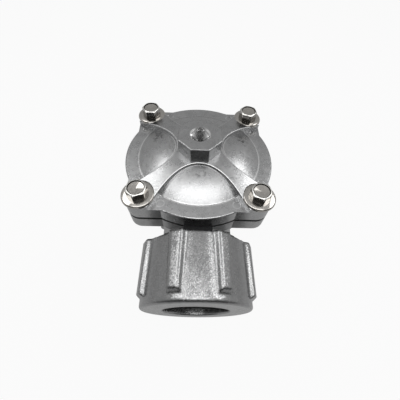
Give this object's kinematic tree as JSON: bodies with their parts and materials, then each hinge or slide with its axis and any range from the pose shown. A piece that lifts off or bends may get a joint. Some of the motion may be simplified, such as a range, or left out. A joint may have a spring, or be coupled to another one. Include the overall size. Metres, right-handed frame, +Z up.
{
  "type": "pulse valve",
  "caption": "Right-angle diaphragm pulse valve with a bolted cover, a pilot port and a ribbed compression nut on its inlet and outlet for plain pipe.",
  "frame": {"origin": "centre of the outlet nut's end face, on the outlet axis, where the valve stands", "axes": "+Z up along the outlet axis and square to the cover's flange; the inlet points along -Y; +X to the right when looking at the inlet"},
  "size_m": [0.088, 0.1265, 0.1102],
  "materials": {
    "cover_casting": "smooth die-cast aluminium, slightly glossy",
    "body_casting": "plain die-cast aluminium",
    "nut_casting": "shot-blasted die-cast aluminium with a fine sparkling grain",
    "stainless": "bright stainless steel",
    "plated_steel": "zinc-plated steel",
    "spring_steel": "drawn stainless spring wire",
    "rubber": "black moulded nitrile rubber",
    "nylon": "natural nylon"
  },
  "bodies": {
    "valve_body": {"body": "body_casting", "cover": "cover_casting", "diaphragm": "rubber", "closing_spring": "spring_steel", "cover_bolt_front_left": "stainless", "cover_bolt_front_right": "stainless", "cover_bolt_back_left": "stainless", "cover_bolt_back_right": "stainless", "cover_washer_front_left": "stainless", "cover_washer_front_right": "stainless", "cover_washer_back_left": "stainless", "cover_washer_back_right": "stainless"},
    "diaphragm_set": {"diaphragm_top_plate": "plated_steel", "diaphragm_seat_disc": "nylon", "diaphragm_rivet": "plated_steel"},
    "inlet_gland": {"inlet_thrust_ring": "plated_steel", "inlet_seal": "rubber"},
    "inlet_nut_body": {"inlet_nut": "nut_casting"},
    "outlet_gland": {"outlet_thrust_ring": "plated_steel", "outlet_seal": "rubber"},
    "outlet_nut_body": {"outlet_nut": "nut_casting"}
  },
  "joints": [
    {"name": "diaphragm_lift", "type": "slide", "parent": "valve_body", "child": "diaphragm_set", "axis": [0, 0, 1], "range_m": [0, 0.007], "stiffness_N_per_m": 1500, "springref_m": -0.008, "deforming": ["diaphragm", "closing_spring"]},
    {"name": "inlet_nut_turn", "type": "hinge", "parent": "inlet_gland", "child": "inlet_nut_body", "pos_m": [0, -0.0825, 0.0619], "axis": [0, -1, 0], "range_deg": [-270, 3960]},
    {"name": "inlet_nut_travel", "type": "slide", "parent": "valve_body", "child": "inlet_gland", "axis": [0, -1, 0], "range_m": [-0.0015, 0.022]},
    {"name": "outlet_nut_turn", "type": "hinge", "parent": "outlet_gland", "child": "outlet_nut_body", "pos_m": [0, 0, 0], "axis": [0, 0, -1], "range_deg": [-270, 3960]},
    {"name": "outlet_nut_travel", "type": "slide", "parent": "valve_body", "child": "outlet_gland", "axis": [0, 0, -1], "range_m": [-0.0015, 0.022]}
  ],
  "couplings": [
    {"joint": "inlet_nut_travel", "follows": "inlet_nut_turn", "m_per_rad": 0.00031831},
    {"joint": "outlet_nut_travel", "follows": "outlet_nut_turn", "m_per_rad": 0.00031831}
  ]
}
